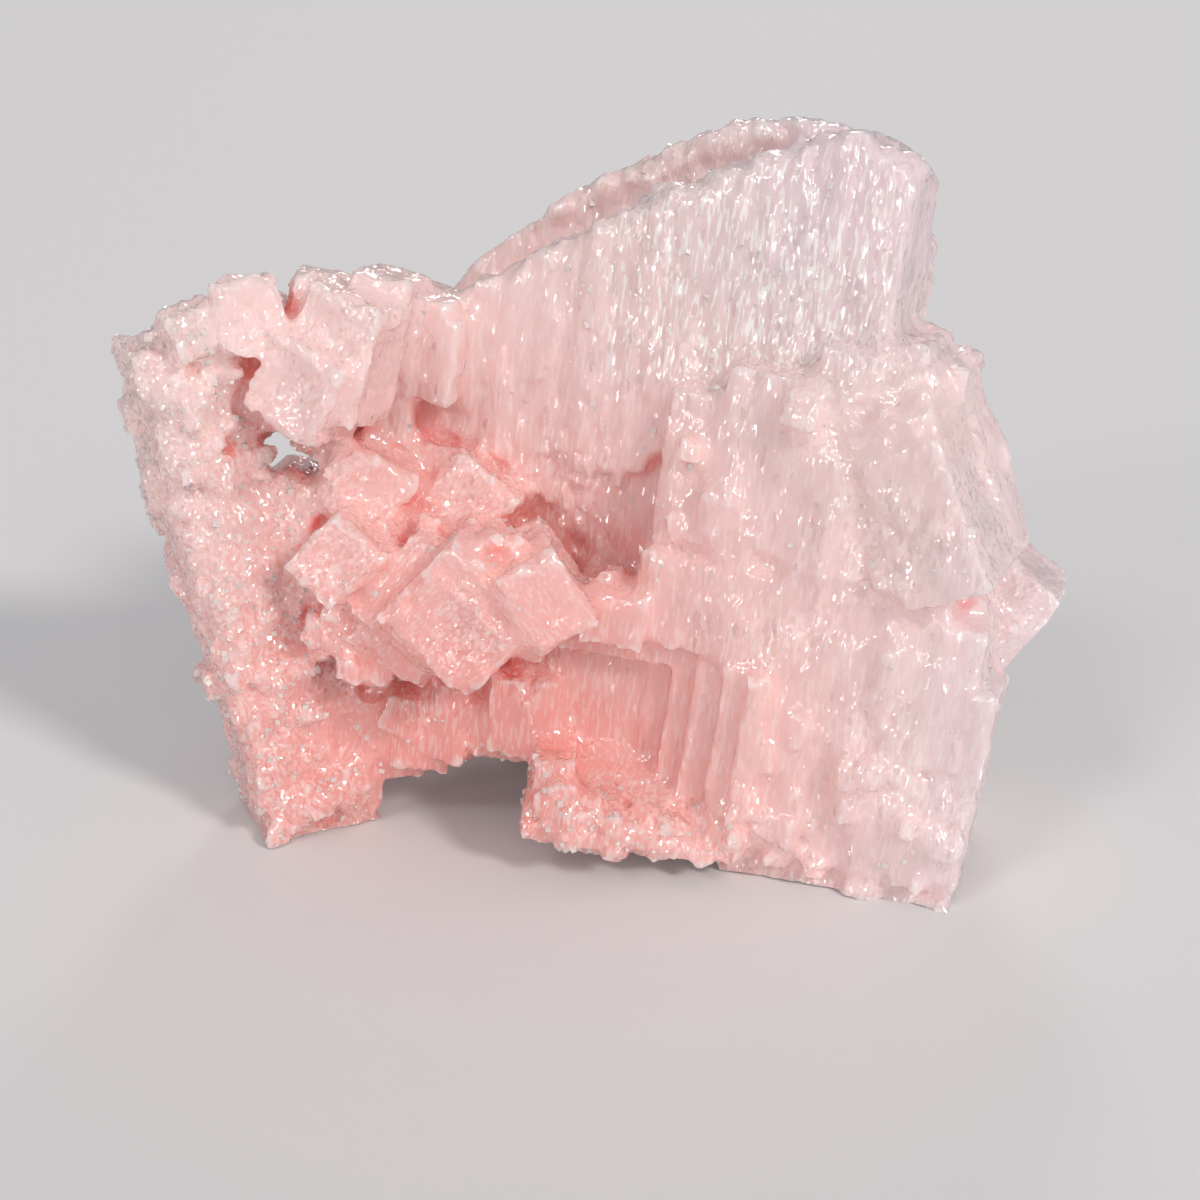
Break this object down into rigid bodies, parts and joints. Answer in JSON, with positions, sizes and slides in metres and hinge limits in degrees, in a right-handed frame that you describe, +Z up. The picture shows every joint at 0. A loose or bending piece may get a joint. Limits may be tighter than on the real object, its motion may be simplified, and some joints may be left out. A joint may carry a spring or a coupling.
{
  "type": "halite crystal cluster",
  "caption": "Cluster of intergrown pink rock-salt cubes with a tall hollow crown, stepped hoppers and a leaning side slab; rests on its flat underside as a display specimen.",
  "frame": {"origin": "bottom centre of the bounding box, on the flat the cluster stands on", "axes": "+Z up, +X along the longest side from the leaning slab to the standing block, +Y towards the far side"},
  "size_m": [0.0954, 0.054, 0.0707],
  "materials": {
    "pink_salt": "translucent, frosted and finely ribbed"
  },
  "bodies": {
    "root": {"halite_cluster": "pink_salt"}
  },
  "joints": []
}
